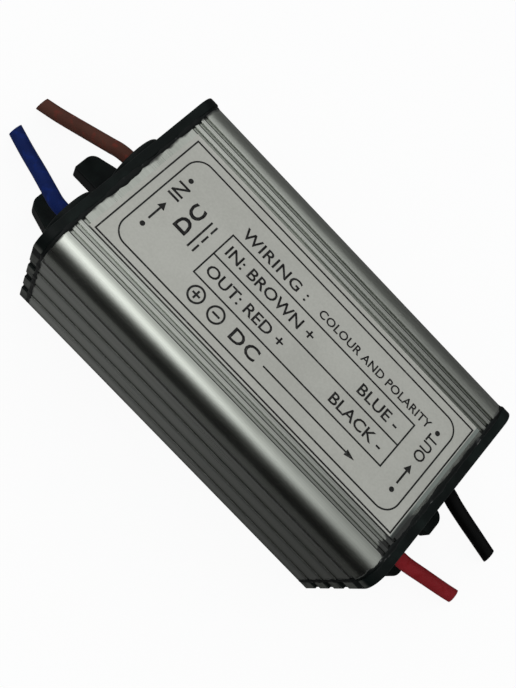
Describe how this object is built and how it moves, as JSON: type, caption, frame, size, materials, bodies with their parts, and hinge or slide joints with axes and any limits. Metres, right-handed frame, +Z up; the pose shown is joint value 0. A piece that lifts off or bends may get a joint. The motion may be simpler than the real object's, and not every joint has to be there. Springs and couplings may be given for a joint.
{
  "type": "led driver",
  "caption": "Small waterproof LED driver: ribbed aluminium case with label, black moulded end caps with fork ears and short input and output wires",
  "frame": {"origin": "on the plane the driver stands on, under the middle of the case", "axes": "+X along the case from the input end to the output end, +Y across it, +Z up through the label"},
  "size_m": [0.1077, 0.036, 0.0261],
  "materials": {
    "case_metal": "satin extrusion with fine lengthwise lines",
    "cap_plastic": "black, moulded, slightly glossy on the edges",
    "sealant": "black sealant, smeared by hand",
    "label_film": "silver grey film with black print",
    "board_laminate": "green solder mask",
    "capacitor_sleeve": "dark shrink sleeve",
    "ferrite": "dark grey, dull",
    "copper_wire": "enamelled copper",
    "epoxy": "black moulded epoxy",
    "ceramic_body": "tan, dull",
    "tin": "bright solder",
    "blue_insulation": "dark blue wire insulation, slightly dusty",
    "brown_insulation": "brown wire insulation, slightly dusty",
    "black_insulation": "black wire insulation",
    "red_insulation": "dark red wire insulation"
  },
  "bodies": {
    "root": {"case": "case_metal", "input_cap": "cap_plastic", "output_cap": "cap_plastic", "input_seal": "sealant", "output_seal": "sealant", "label": "label_film", "circuit_board": "board_laminate", "input_capacitor": "capacitor_sleeve", "output_capacitor": "capacitor_sleeve", "inductor_core": "ferrite", "inductor_winding": "copper_wire", "controller_chip": "epoxy", "power_transistor": "epoxy", "rectifier_diode": "epoxy", "sense_resistors": "epoxy", "ceramic_capacitors": "ceramic_body", "conductor_ends": "tin", "solder_joints": "tin", "blue_wire": "blue_insulation", "brown_wire": "brown_insulation", "black_wire": "black_insulation", "red_wire": "red_insulation"}
  },
  "joints": []
}
